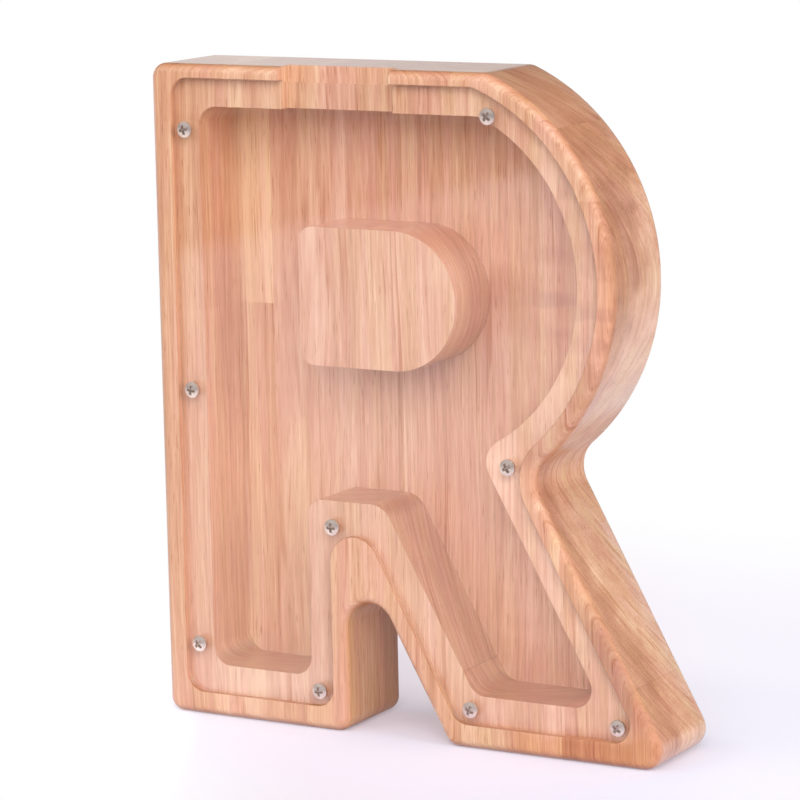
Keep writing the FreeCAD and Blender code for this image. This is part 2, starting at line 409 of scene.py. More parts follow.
# %% Lamps
lamp_plan = {
    "right lamp": dict(place=(1.0, -1.8, 1.3), size=1.4, power=24.5),
    "left lamp": dict(place=(-1.2, -1.8, 1.0), size=1.0, power=6.0),
    "side lamp": dict(place=(2.2, -0.3, 0.8), size=1.0, power=20.0),
}
box_middle = (cad_low + cad_high) / 2


def make_lamp(name, place, size, power):
    """Square soft lamp that looks from a place at the middle of the box."""
    data = bpy.data.lights.new(name, "AREA")
    data.size = size
    data.energy = power
    lamp = add_object(name, data)
    lamp.location = place
    lamp.rotation_euler = (box_middle - Vector(place)).to_track_quat("-Z", "Y").to_euler()
    lamp.visible_glossy = False


for name, plan in lamp_plan.items():
    make_lamp(name, **plan)
    print(name, plan["power"], "W")

# %% [markdown]
# Wood that is solid all through
#
# A photograph of wood wrapped round a block shows the same lines on every side. Real wood is a solid: the
# rings of the tree run through it, so a long face shows lines, an end shows arcs, and a round side shows
# flames. The grain group therefore works on the point in space. Its ring value is the distance from the
# heart of the tree, a line somewhere outside the stave, and the noise is drawn out along the stem.

# %% Grain of a stave
# Each noise follows the rings or the stem, with the size of its patches in mm, its detail and its warp.
grain_plan = {
    "Band": ("rings", (8.0, 50.0, 400.0), 2.0, 0.0),
    "Streak": ("rings", (2.4, 22.0, 130.0), 2.0, 0.5),
    "Line": ("rings", (0.62, 7.0, 46.0), 2.0, 0.6),
    "Vein": ("rings", (0.8, 9.0, 55.0), 1.0, 0.6),
    "Hue": ("rings", (3.4, 14.0, 110.0), 2.0, 0.5),
    "Fibre": ("stem", (0.32, 0.32, 12.0), 2.0, 0.0),
    "Vessel": ("stem", (0.42, 0.42, 7.0), 1.0, 0.0),
    "Figure": ("stem", (16.0, 16.0, 9.0), 3.0, 0.0),
    "Mottle": ("stem", (4.0, 4.0, 6.0), 3.0, 0.0),
}
sharp_limits = {"Vein": (0.6, 0.76), "Vessel": (0.63, 0.76)}
sway_size = (60.0, 60.0, 120.0)
seed_step = (31.0, 17.0, 53.0)
across_stem = (1, 1, 0)


def scaled(tree, vector, factor):
    """Vector times the number from a socket."""
    made = node(tree, "VectorMath", vector, operation="SCALE")
    fill(tree, made.inputs["Scale"], factor)
    return made.outputs[0]


def make_grain_group():
    """Noises of the plan, each with its size, detail and warp, laid along the rings or along the stem."""
    inputs = {"Point": "Vector", "Heart": "Vector", "Seed": "Float", "Sway": "Float"}
    tree, given, results = new_group("stave grain", inputs, dict.fromkeys(grain_plan, "Float"))
    drift = scaled(tree, seed_step, given["Seed"])
    wander = vector_calc(tree, "DIVIDE", vector_calc(tree, "ADD", given["Point"], drift), sway_size)
    wander = node(tree, "TexNoise", wander, None, 1.0, 1.0).outputs["Color"]
    wander = vector_calc(tree, "SUBTRACT", wander, (0.5, 0.5, 0.5))
    wander = vector_calc(tree, "MULTIPLY", wander, across_stem)
    point = vector_calc(tree, "ADD", given["Point"], scaled(tree, wander, given["Sway"]))
    from_heart = vector_calc(tree, "SUBTRACT", point, given["Heart"])
    from_heart = vector_calc(tree, "MULTIPLY", from_heart, across_stem)
    ring = node(tree, "VectorMath", from_heart, operation="LENGTH").outputs["Value"]
    moved = vector_calc(tree, "ADD", point, drift)
    parts = node(tree, "SeparateXYZ", moved).outputs
    ringed = node(tree, "CombineXYZ", ring, parts["Y"], parts["Z"]).outputs[0]
    spaces = {"rings": ringed, "stem": moved}
    for name, (space, size, detail, warp) in grain_plan.items():
        cloud = noise(tree, spaces[space], size, detail, warp)
        if name in sharp_limits:
            cloud = between(tree, cloud, *sharp_limits[name])
        fill(tree, results[name], cloud)
    return tree


grain_group = make_grain_group()
print("grain group nodes", len(grain_group.nodes))

# %% [markdown]
# Glue joints and eased edges
#
# Two staves that meet leave a hair line of glue. It could be modelled as a gap, but it is only seen as a
# line, so it is a mask on the distance to the plane of the joint. Sharp edges of wood are always eased with
# a little sandpaper. The Bevel node rounds the normal there, and where the rounded normal leaves the flat
# one the wood is a little darker, partly opened grain and partly a painted shade line along the edge. At a
# glue joint nothing is eased.

# %% Joints and edges
glue_line = 0.16
flush_width = 0.9
eased_radius = 0.45 * mm
eased_samples = 6
eased_limits = (0.02, 0.25)


def make_joint_group():
    """Masks near the joints: a hair line of glue on the left one, and on all a strip that is sanded flush."""
    planes = {"Left": "X", "Right": "X", "Low": "Z", "High": "Z"}
    inputs = {"Point": "Vector", **dict.fromkeys(planes, "Float")}
    tree, given, results = new_group("glue joints", inputs, {"Glue": "Float", "Flush": "Float"})
    parts = node(tree, "SeparateXYZ", given["Point"]).outputs
    gaps = {}
    for side, axis in planes.items():
        gaps[side] = calc(tree, "ABSOLUTE", calc(tree, "SUBTRACT", parts[axis], given[side]))
    beside = calc(tree, "MINIMUM", gaps["Left"], gaps["Right"])
    nearest = calc(tree, "MINIMUM", beside, calc(tree, "MINIMUM", gaps["Low"], gaps["High"]))
    for name, gap, width in (("Glue", gaps["Left"], glue_line), ("Flush", nearest, flush_width)):
        fill(tree, results[name], rest(tree, between(tree, gap, width / 2, width)))
    return tree


def make_edge_group():
    """Eased edges: the rounded normal, kept flat where the joint is flush, and a mask of where it turns."""
    tree, given, results = new_group("eased edges", {"Flush": "Float"}, {"Normal": "Vector", "Edge": "Float"})
    flat = node(tree, "NewGeometry").outputs["Normal"]
    rounded = node(tree, "Bevel", eased_radius, samples=eased_samples).outputs[0]
    made = node(tree, "Mix", given["Flush"], data_type="VECTOR")
    first, second = [s for s in made.inputs if s.type == "VECTOR" and s.name in ("A", "B")]
    fill(tree, first, rounded)
    fill(tree, second, flat)
    turned = [s for s in made.outputs if s.type == "VECTOR"][0]
    normal = vector_calc(tree, "NORMALIZE", turned)
    same = node(tree, "VectorMath", normal, flat, operation="DOT_PRODUCT").outputs["Value"]
    fill(tree, results["Normal"], normal)
    fill(tree, results["Edge"], between(tree, rest(tree, same), *eased_limits))
    return tree


joint_group = make_joint_group()
edge_group = make_edge_group()
print("glue line", glue_line, "mm, eased edges", eased_radius / mm, "mm")

# %% [markdown]
# Colour of the wood
#
# The wood is a peach-coloured hardwood under a thin varnish. A tone from 0 to 1 runs from its brown heart
# over the common peach to the pale sapwood. A ramp with many stops could hold the colours, but three
# colours with a straight blend between them are easier to match. Veins, pores and glue darken the
# wood, ends of the grain drink more varnish and are deeper in colour, and eased edges are a little darker.

# %% Wood colour group
wood_colours = {
    "Heart wood": (0.47, 0.195, 0.098),
    "Peach": (0.735, 0.378, 0.232),
    "Sapwood": (0.97, 0.67, 0.46),
}
middle_tone = 0.5
yellow_cast = (0.99, 1.01, 0.94, 1.0)
pink_cast = (1.01, 0.97, 1.04, 1.0)
cast_limits = (0.32, 0.68)
stains = {
    "Vein": (0.82, 0.66, 0.53, 1.0),
    "Vessel": (0.75, 0.61, 0.51, 1.0),
    "Glue": (0.6, 0.47, 0.4, 1.0),
    "End": (0.93, 0.78, 0.64, 1.0),
    # Edge: eased edges a little darker, partly opened grain and partly a painted shade line.
    "Edge": (0.9, 0.86, 0.83, 1.0),
}


def make_colour_group():
    """Colour of the wood from its tone and hue; then each stain, by its mask, multiplies it."""
    inputs = dict.fromkeys(wood_colours, "Color")
    inputs.update(dict.fromkeys(("Tone", "Hue", *stains), "Float"))
    tree, given, results = new_group("wood colour", inputs, {"Colour": "Color"})
    low = node(tree, "MapRange", given["Tone"], 0.0, middle_tone).outputs[0]
    high = node(tree, "MapRange", given["Tone"], middle_tone, 1.0).outputs[0]
    colour = blend(tree, low, given["Heart wood"], given["Peach"])
    colour = blend(tree, high, colour, given["Sapwood"])
    cast = blend(tree, between(tree, given["Hue"], *cast_limits), yellow_cast, pink_cast)
    colour = blend(tree, 1.0, colour, cast, "MULTIPLY")
    for name, stain in stains.items():
        colour = blend(tree, given[name], colour, stain, "MULTIPLY")
    fill(tree, results["Colour"], colour)
    return tree


colour_group = make_colour_group()
print("wood colour nodes", len(colour_group.nodes))

# %% [markdown]
# One look for each stave
#
# The staves came from several planks, and differ in the heart of the tree, in tint and in bands. Bands pair
# a distance from the box's left side, in millimetres, with a tone, and hold what the eye knows a stave by,
# such as the pale streak beside the stem. More tone is added on the rim, the ledge and the deep floor, as a
# pair for low down and high up, and down the depth of a wall; on the ledges of the bowl part of this lift is
# painted light against the rim's shadow, and the ramp down a wall holds a painted shade line by the recess.
# Last come washes: each has a kind of face, four heights between which it comes and goes, and a colour that
# multiplies the wood. Some are the wood's own colour; others are painted shade, painted light or painted
# sheen, as marked where they stand. A dry wash also takes gloss away.

# %% Values that all the staves share
# Limits past every side of the box stand for no start and no end. Slant leans the bands with the depth.
# Figure, glue and mottle are strengths of cross figure, glue lines and specks. Lean and flame shift a
# wall's tones with the height and with the figure, and side is a wall's own tone.
no_start = (-20, -10)
no_end = (300, 310)
# A painted shade line on walls just behind the front face, where the recess casts its shadow.
recess_shade_ramp = ((0, 0.0), (1.6, -0.04), (2.2, -0.12), (3.3, -0.12), (3.6, 0.0), (36, 0.0))


def wash(faces, heights, colour, dry=False):
    """One wash: the kind of face, the heights where it starts, is full, fades and ends, and its colour."""
    return dict(faces=faces, heights=heights, colour=colour + (1.0,), dry=dry)


# Shared washes: painted shade on the upward walls low in the hollow, a painted contact shade along the foot,
# and a paler, bluer painted sheen on the back of the low sides.
hollow_shade = wash("up", (*no_start, 110, 150), (0.76, 0.74, 0.7))
foot_shade = wash("all", (*no_start, 0.6, 2.6), (0.74, 0.64, 0.6))
back_glare = wash("back", (*no_start, 110, 130), (0.96, 1.05, 1.18))
plain_look = dict(slant=0.1, figure=0.1, glue=0.1, rim=(0.0, 0.0), ledge=(0.0, 0.0), deep=(0.0, 0.0))
plain_look.update(depth=recess_shade_ramp, lean=(0.0, 0.0), flame=0.0, side=None, mottle=0.0, washes=(hollow_shade,))
stave_looks = {}
print("shared values", len(plain_look))

# %% Left staves and stem
left_plank = dict(plain_look, seed=1, tint=(1.0, 0.98, 0.96), heart=(-40, 60), slant=0.45, glue=0.0)
stave_looks["stave_left_upper"] = dict(
    left_plank, deep=(0.1, 0.1),
    bands=((-7, 0.47), (-2, 0.48), (4, 0.5), (10, 0.54), (15, 0.61), (18.5, 0.68), (20.2, 0.84),
           (25.2, 0.82), (26.4, 0.8), (27.0, 1.0), (30.2, 1.0), (31, 0.7)))
stave_looks["stave_left_lower"] = dict(
    left_plank, ledge=(0.03, 0.03), deep=(0.03, 0.03),
    bands=((-7, 0.45), (-2, 0.46), (4, 0.51), (10, 0.6), (15, 0.64), (18.5, 0.65), (20.5, 0.76), (25, 0.69),
           (27.5, 0.57), (31, 0.5)))
stave_looks["stave_stem"] = dict(
    plain_look, seed=2, tint=(1.0, 0.99, 0.97), heart=(20, 80),
    rim=(-0.05, 0.04), ledge=(0.06, 0.05), deep=(0.03, 0.0),
    bands=((27, 0.52), (31, 0.62), (35, 0.54), (48, 0.54), (56, 0.52)),
    washes=(hollow_shade, wash("front", (*no_start, 14, 30), (1.03, 1.09, 1.12))))
print("looks", list(stave_looks))

# %% Arch and centre
# The arch's wall keeps the painted shade line by the recess, is a little lighter near the front, and darkens
# towards the back as a painted shade inside the arch.
arch_shade_ramp = ((0, 0.0), (1.6, -0.04), (2.2, -0.12), (3.3, -0.12), (3.6, 0.06), (14, 0.06), (36, -0.44))
stave_looks["stave_arch"] = dict(
    plain_look, seed=3, tint=(1.0, 0.985, 1.01), heart=(50, 30), depth=arch_shade_ramp,
    rim=(0.02, 0.06), ledge=(0.06, 0.06), deep=(0.06, 0.02),
    bands=((52, 0.56), (58.5, 0.66), (61, 0.54), (66, 0.47), (70, 0.49), (77, 0.44), (81, 0.48)),
    washes=(hollow_shade, wash("wall", (*no_start, 56, 62), (1.0, 1.01, 0.87), dry=True)))
stave_looks["stave_centre"] = dict(
    plain_look, seed=4, tint=(1.0, 0.99, 0.98), heart=(140, 60), glue=0.25, side=0.54,
    rim=(0.0, 0.06), ledge=(0.03, 0.08), deep=(0.13, 0.02),
    bands=((77, 0.55), (88, 0.45), (96, 0.48), (100, 0.48), (114, 0.46)),
    # The ledge wash is painted light and a painted pale haze: a lighter, bluer ledge.
    washes=(hollow_shade, wash("ledge", (18, 28, 48, 58), (1.06, 1.13, 1.2))))
print("looks", len(stave_looks))

# %% [markdown]
# The bowl and the leg
#
# A round side cuts through many rings, so its bands run down the depth and flicker like flames. The tones
# of the walls are therefore shifted by the cross figure. The side is deep in colour next to the rim, in a
# band that widens towards the top of the bowl and the foot of the leg, and paler behind, partly a painted
# sheen of the room's light on the varnish; a pale streak along the side is a painted highlight. The cross
# streaks on the bowl's floor are such as a branch would leave.

# %% Bowl staves
# Down the depth of the bowl's side: deep in colour next to the front, and pale behind, partly painted sheen.
bowl_flame = ((-30, -0.34), (4, -0.34), (6, -0.26), (11, -0.02), (17, 0.1), (36, 0.1))
bowl_plank = dict(plain_look, depth=bowl_flame, lean=(0.28, 120.0), flame=9.0, side=0.53, mottle=0.45)
bowl_streaks = (
    wash("bowl", (142, 144, 146, 149.5), (0.88, 0.83, 0.84)),
    wash("bowl", (131.5, 133, 134.5, 137.5), (0.95, 0.93, 0.94)),
    wash("bowl", (156, 158, 160, 165), (0.93, 0.9, 0.9)))
stave_looks["stave_bowl_inner"] = dict(
    bowl_plank, seed=5, tint=(0.99, 0.96, 0.94), heart=(90, 70), figure=0.35, glue=0.6,
    rim=(-0.02, 0.12), ledge=(0.07, 0.14), deep=(-0.03, 0.05),
    bands=((110, 0.52), (118, 0.55), (126, 0.51), (138, 0.51), (145, 0.64), (148, 0.6), (151, 0.36)),
    washes=(
        hollow_shade,
        wash("front", (*no_start, 7, 11), (0.92, 0.8, 0.64)),
        wash("wall", (76, 94, 104, 116), (0.9, 0.82, 0.74), dry=True),
        wash("wall", (40, 50, 76, 88), (1.07, 1.09, 1.1)),
        # Painted highlight: a paler, bluer streak along the middle of the side.
        wash("streak", (40, 50, 80, 87), (1.1, 1.14, 1.18)),
        wash("front", (136, 144, 152, 160), (0.96, 0.95, 0.94)),
        *bowl_streaks,
        wash("front", (100, 112, 124, 134), (1.03, 1.06, 1.07)),
        # The two ledge washes are painted light and a painted pale haze: a lighter, bluer ledge.
        wash("ledge", (40, 48, 80, 88), (1.1, 1.13, 1.15)),
        wash("ledge", (78, 88, 96, 106), (1.19, 1.25, 1.32)),
        wash("rim", (92, 98, 124, 134), (0.8, 0.74, 0.74)),
        wash("rim", (180, 190, 212, 218), (0.88, 0.83, 0.82)),
        wash("heel", (*no_start, 7, 11), (1.1, 1.45, 1.75)),
        # Painted sheen: paler and bluer on the back of the side near the top.
        wash("back", (195, 205, *no_end), (1.0, 1.12, 1.25))))
stave_looks["stave_bowl_upper"] = dict(
    bowl_plank, seed=6, tint=(1.0, 0.97, 0.93), heart=(120, 30), figure=0.5, glue=0.0, rim=(0.1, 0.12),
    bands=((147, 0.54), (160, 0.56), (166, 0.5), (172, 0.46)),
    washes=(
        wash("rim", (176, 184, 212, 218), (0.88, 0.83, 0.82)),
        wash("ledge", (176, 181, 188, 194), (0.87, 0.85, 0.84)),
        # Painted sheen: paler and bluer on the back of the side near the top.
        wash("back", (190, 200, *no_end), (1.0, 1.12, 1.25))))
stave_looks["stave_bowl_lower"] = dict(
    bowl_plank, seed=6, tint=(1.0, 0.97, 0.95), heart=(120, 30), figure=0.5, glue=0.0,
    rim=(-0.05, -0.07), ledge=(0.31, -0.05),
    bands=((147, 0.62), (160, 0.6), (165, 0.42), (172, 0.4)),
    washes=(
        back_glare,
        wash("front", (136, 144, 152, 160), (0.98, 0.97, 0.96)),
        *bowl_streaks,
        wash("fore", (110, 130, 176, 186), (1.0, 0.92, 0.83)),
        wash("front", (156, 168, 190, 200), (0.92, 0.88, 0.85)),
        wash("rim", (90, 98, 124, 134), (0.8, 0.74, 0.74)),
        wash("rim", (134, 140, 154, 162), (1.06, 1.08, 1.08)),
        wash("wall", (60, 70, 104, 116), (0.95, 0.91, 0.87), dry=True)))
print("looks", len(stave_looks))

# %% Leg and toe
# Down the depth of the leg's side: deep in colour next to the front, with pale stripes further back that are
# partly painted sheen.
leg_flame = ((-14, -0.14), (0, -0.22), (4, -0.34), (6, -0.28), (11, 0.02), (17, 0.16), (23, 0.06), (28, 0.15),
             (36, 0.15))
leg_plank = dict(plain_look, depth=leg_flame, lean=(-0.12, 75.0), flame=8.0, side=0.56, mottle=0.4)
leg_plank.update(seed=5, heart=(90, 70))
stave_looks["stave_leg"] = dict(
    leg_plank, tint=(1.0, 0.965, 0.94), figure=0.3, glue=0.0, ledge=(0.08, 0.08),
    bands=((147, 0.34), (151, 0.42), (155, 0.56), (165, 0.54), (177, 0.48)),
    washes=(
        wash("front", (*no_start, 6, 13), (0.75, 0.55, 0.36)),
        back_glare,
        wash("wall", (54, 70, *no_end), (0.93, 0.92, 0.91)),
        # Painted highlight: a paler, bluer streak along the middle of the side.
        wash("streak", (48, 62, *no_end), (1.1, 1.14, 1.18)),
        wash("rim", (8, 18, 40, 58), (0.68, 0.57, 0.56)),
        # The ledge wash is painted light and a painted pale haze: a lighter, bluer ledge.
        wash("ledge", (36, 46, *no_end), (1.16, 1.2, 1.24))))
stave_looks["stave_toe"] = dict(
    leg_plank, tint=(1.0, 0.955, 0.9), slant=0.0, figure=0.2, glue=0.3,
    bands=((174, 0.44), (187, 0.52)),
    washes=(
        wash("front", (*no_start, 6, 16), (0.83, 0.68, 0.49)),
        back_glare,
        wash("rim", (8, 16, 40, 58), (0.78, 0.64, 0.6))))
stave_boxes = {name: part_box(name) for name in stave_looks}
print("looks", len(stave_looks))

# %% [markdown]
# Where a stave's surface lies
#
# A wash needs to know its faces. They could be picked by hand, but the solids stay as they are, so masks
# find them: the normal tells fronts from walls, ends and tops, and the depth below the front and the
# distance from the left side cut smaller patches out of these.

# %% Places and masks on a stave
never = 1.0e4
same_plane = 0.01
left_side = cad_low.x / mm
front_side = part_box("stave_stem")[0].y / mm
wall_limits = (0.25, 0.85)
end_limits = (0.35, 0.95)
top_limits = (0.2, 0.7)
layers = {"rim": (*no_start, 1.5, 3.0), "ledge": (1.5, 3.0, 9.0, 14.0), "deep": (20.0, 26.0, *no_end)}
patches = {
    "rim": ("front", "depth", layers["rim"]),
    "ledge": ("front", "depth", layers["ledge"]),
    "bowl": ("front", "from_left", (120.0, 134.0, *no_end)),
    "heel": ("rim", "from_left", (*no_start, 126.0, 138.0)),
    "fore": ("wall", "depth", (1.5, 3.5, 7.0, 11.0)),
    # The streak patch is where a painted highlight lies on a wall.
    "streak": ("wall", "depth", (7.0, 11.0, 13.0, 17.0)),
    "back": ("wall", "depth", (23.0, 32.0, *no_end)),
}


def joint_planes(name):
    """Planes of a stave's box, in millimetres, where another stave's box begins; far away where none does."""
    low, high = stave_boxes[name]
    others = [box for other, box in stave_boxes.items() if other != name]
    found = {}
    sides = {"Left": (0, low, 1), "Right": (0, high, 0), "Low": (2, low, 1), "High": (2, high, 0)}
    for side, (axis, mine, end) in sides.items():
        meets = [box for box in others if abs(box[end][axis] - mine[axis]) < same_plane * mm]
        found[side] = mine[axis] / mm if meets else never
    return found


def layer_share(tree, place, limits):
    """Share of a layer at a place: rises between the first two limits and falls between the last two."""
    start, full, fade, end = limits
    return calc(tree, "SUBTRACT", between(tree, place, start, full), between(tree, place, fade, end))


def face_masks(tree):
    """Masks from the normal: walls turn away from the front, ends look up or down, tops look up."""
    normal = node(tree, "SeparateXYZ", node(tree, "NewGeometry").outputs["Normal"]).outputs
    front = between(tree, calc(tree, "ABSOLUTE", normal["Y"]), *wall_limits)
    wall = rest(tree, front)
    end = between(tree, calc(tree, "ABSOLUTE", normal["Z"]), *end_limits)
    return {"all": 1.0, "front": front, "wall": wall, "end": end,
            "up": between(tree, normal["Z"], *top_limits)}


def face_share(tree, faces, masks, places):
    """Mask of a kind of face; a patch is its parent's mask times the share of a layer, kept for later."""
    if faces not in masks:
        parent, line, limits = patches[faces]
        inside = layer_share(tree, places[line], limits)
        masks[faces] = times(tree, face_share(tree, parent, masks, places), inside)
    return masks[faces]


for name in stave_looks:
    print(name, {side: round(place, 2) for side, place in joint_planes(name).items() if place < never})

# %% [markdown]
# Tone of the wood
#
# The tone is a sum, as the eye would take it apart: bands across the stave, then what a wall shows instead
# of them, then the layers of depth, then the fine lines. The lines are calmed where a surface turns from
# front to wall, because sandpaper smooths them there.

# %% Tone
floor_depth = 26.5
layer_heights = (40.0, 170.0)
band_waver = 2.0
grain_shares = {"Band": 0.36, "Streak": 0.44, "Line": 0.74, "Fibre": 0.58}
turning_calm = 0.6


def tone_ramp(tree, place, bands):
    """Tone along a line: a colour ramp whose stops are given as places in millimetres and tones."""
    first, last = bands[0][0], bands[-1][0]
    made = node(tree, "ValToRGB", node(tree, "MapRange", place, first, last).outputs[0])
    made.color_ramp.interpolation = "EASE"
    stops = made.color_ramp.elements
    while len(stops) < len(bands):
        stops.new(1.0)
    for stop, (distance, tone) in zip(stops, bands):
        stop.position = (distance - first) / (last - first)
        stop.color = (tone, tone, tone, 1)
    return made.outputs[0]


def wall_tone(tree, look, grain, places):
    """Tone added on a wall: a ramp over the depth, leaning with the height, flickering with the figure."""
    slope, level = look["lean"]
    leaning = times(tree, calc(tree, "SUBTRACT", places["height"], level), slope)
    depth = calc(tree, "SUBTRACT", places["depth"], calc(tree, "MAXIMUM", leaning, 0.0))
    depth = add_times(tree, centred(tree, grain["Figure"]), look["flame"], depth)
    lifted = tuple((place, tone + middle_tone) for place, tone in look["depth"])
    return calc(tree, "SUBTRACT", tone_ramp(tree, depth, lifted), middle_tone)


def wood_tone(tree, look, grain, places, masks):
    """Sum of the bands, the wall's own tone, the layers' lifts and the lines of the grain."""
    across = calc(tree, "SUBTRACT", places["depth"], floor_depth)
    across = add_times(tree, across, look["slant"], places["from_left"])
    across = add_times(tree, centred(tree, grain["Streak"]), band_waver, across)
    tone = tone_ramp(tree, across, look["bands"])
    # The wall's depth ramp: on some staves partly painted shade, by the recess and inside the arch, and
    # partly painted sheen behind the round sides.
    wall_ramp_tone = wall_tone(tree, look, grain, places)
    long_wall = times(tree, masks["wall"], rest(tree, masks["end"]))
    if look["side"]:
        tone = mix(tree, long_wall, tone, look["side"])
        wall_ramp_tone = add_times(tree, centred(tree, grain["Mottle"]), look["mottle"], wall_ramp_tone)
    tone = add_times(tree, wall_ramp_tone, long_wall, tone)
    for layer, depths in layers.items():
        if any(look[layer]):
            lift = node(tree, "MapRange", places["height"], *layer_heights, *look[layer]).outputs[0]
            tone = add_times(tree, layer_share(tree, places["depth"], depths), lift, tone)
    lines = 0.0
    for mask, strength in {**grain_shares, "Figure": look["figure"]}.items():
        lines = add_times(tree, centred(tree, grain[mask]), strength, lines)
    turning = times(tree, masks["wall"], masks["front"])
    calm = rest(tree, times(tree, turning, 4 * turning_calm))
    return add_times(tree, lines, calm, tone)


print("shares of the grain", grain_shares)

# %% [markdown]
# Varnished wood
#
# The wood is varnished: a satin surface with a clear coat over it. One material for the whole block would
# be shorter, but the planks differ too much, so each stave follows one recipe with its own values. Pores
# and fibres make the surface a little rougher and dent the varnish.

# %% Wood finish
varnish_roughness = 0.3
grain_roughness = 0.12
dry_roughness = 0.2
varnish_coat = 1.0
thin_coat = 0.4
coat_roughness = 0.2
pore_bump = 0.2
pore_depth = 0.1 * mm
pore_share = 0.5
seed_gap = 3.7
grain_sway = 4.0


def wood_colour(tree, look, grain, joints, edges, masks, tone):
    """Colour of a stave: three colours times its tint, then tone, hue and stains in the colour group."""
    values = {}
    for name, colour in wood_colours.items():
        values[name] = tuple(c * t for c, t in zip(colour, look["tint"])) + (1.0,)
    values.update({name: grain[name] for name in ("Hue", "Vein", "Vessel")})
    values.update({"Tone": tone, "End": masks["end"], "Edge": edges["Edge"]})
    values["Glue"] = times(tree, joints["Glue"], look["glue"])
    return use_group(tree, colour_group, values)["Colour"]


def add_washes(tree, look, grain, places, masks, colour, rough):
    """Colour, roughness and coat after the washes; a share is the faces' mask times that of the heights."""
    coat = varnish_coat
    bent = add_times(tree, centred(tree, grain["Figure"]), look["flame"], places["height"])
    for one in look["washes"] + (foot_shade,):
        height = places["height"] if one["faces"] == "all" else bent
        share = layer_share(tree, height, one["heights"])
        share = times(tree, share, face_share(tree, one["faces"], masks, places))
        colour = blend(tree, share, colour, one["colour"], "MULTIPLY")
        if one["dry"]:
            rough = add_times(tree, share, dry_roughness, rough)
            coat = add_times(tree, share, thin_coat - varnish_coat, coat)
    return colour, rough, coat


def make_wood(name, look):
    """Varnished wood of one stave: grain, joints, edges and washes feed colour, roughness, coat and bump."""
    material, tree, surface = new_material("wood of " + name)
    point = millimetres(tree)
    parts = node(tree, "SeparateXYZ", point).outputs
    places = {"height": parts["Z"], "depth": calc(tree, "SUBTRACT", parts["Y"], front_side)}
    places["from_left"] = calc(tree, "SUBTRACT", parts["X"], left_side)
    heart = (look["heart"][0] + left_side, look["heart"][1], 0.0)
    plank = {"Point": point, "Heart": heart, "Seed": seed_gap * look["seed"], "Sway": grain_sway}
    grain = use_group(tree, grain_group, plank)
    joints = use_group(tree, joint_group, {"Point": point, **joint_planes(name)})
    edges = use_group(tree, edge_group, {"Flush": joints["Flush"]})
    masks = face_masks(tree)
    tone = wood_tone(tree, look, grain, places, masks)
    colour = wood_colour(tree, look, grain, joints, edges, masks, tone)
    rough = calc(tree, "ADD", grain["Fibre"], grain["Vessel"])
    rough = add_times(tree, rough, grain_roughness, varnish_roughness)
    colour, rough, coat = add_washes(tree, look, grain, places, masks, colour, rough)
    height = times(tree, calc(tree, "SUBTRACT", grain["Fibre"], grain["Vessel"]), pore_share)
    normal = bumped(tree, height, pore_bump, pore_depth, edges["Normal"])
    values = {"Base Color": colour, "Roughness": rough, "Normal": normal}
    values.update({"Coat Weight": coat, "Coat Roughness": coat_roughness})
    tree.links.new(principled(tree, values), surface)
    return material


def dress(node_name, material):
    """Give a node its finish."""
    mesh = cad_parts[node_name].data
    mesh.materials.clear()
    mesh.materials.append(material)


for name, look in stave_looks.items():
    wood = make_wood(name, look)
    dress(name, wood)
    print(wood.name, "nodes", len(wood.node_tree.nodes))

# %% [markdown]
# Clear cover
#
# The cover is polished acrylic. Glass renders too dark when lamps don't reach what lies behind it, so the
# shader is clear glass for the eye and for mirrors, and plain air for the rays that carry light to the
# wood. The thin cut edge is air too, and so is a face that a ray meets from inside after coming in through
# that edge, or the edge would be a black line. A very weak waviness and a few smudges keep the sheet from
# looking like a hole.

# %% Cover finish
acrylic_index = 1.49
wave_size = (45.0, 45.0, 45.0)
wave_bump = 0.05
wave_depth = 0.2 * mm
smudge_size = (18.0, 18.0, 26.0)
smudge_limits = (0.55, 0.85)
smudge_roughness = 0.03
sheet_limits = (0.3, 0.7)


def make_acrylic():
    """Clear glass whose rays of light pass straight through, with faint waviness and smudges."""
    material, tree, surface = new_material("clear acrylic")
    point = millimetres(tree)
    smudge = between(tree, noise(tree, point, smudge_size, 3.0), *smudge_limits)
    values = {"Base Color": plain_white, "IOR": acrylic_index, "Transmission Weight": 1.0}
    values["Roughness"] = times(tree, smudge, smudge_roughness)
    values["Normal"] = bumped(tree, noise(tree, point, wave_size, 1.0), wave_bump, wave_depth)
    glass = principled(tree, values)
    air = node(tree, "BsdfTransparent", plain_white).outputs[0]
    geometry = node(tree, "NewGeometry").outputs
    normal = node(tree, "SeparateXYZ", geometry["Normal"]).outputs
    cut_edge = rest(tree, between(tree, calc(tree, "ABSOLUTE", normal["Y"]), *sheet_limits))
    path = node(tree, "LightPath").outputs
    carries = calc(tree, "MAXIMUM", path["Is Shadow Ray"], path["Is Diffuse Ray"])
    still_outside = calc(tree, "LESS_THAN", path["Transmission Depth"], 0.5)
    through_edge = times(tree, geometry["Backfacing"], still_outside)
    open_path = calc(tree, "MAXIMUM", calc(tree, "MAXIMUM", carries, cut_edge), through_edge)
    tree.links.new(node(tree, "MixShader", open_path, glass, air).outputs[0], surface)
    return material


dress("cover", make_acrylic())

# %% [markdown]
# Screws
#
# A screw could be a cylinder with a picture of a cross. These have a domed head with a real cross recess
# and a thread on the shank, because they come out when the cover is taken off. The head and the shank are
# one closed surface on a grid: an angle goes round the axis and a row goes from the head's middle to the
# point.

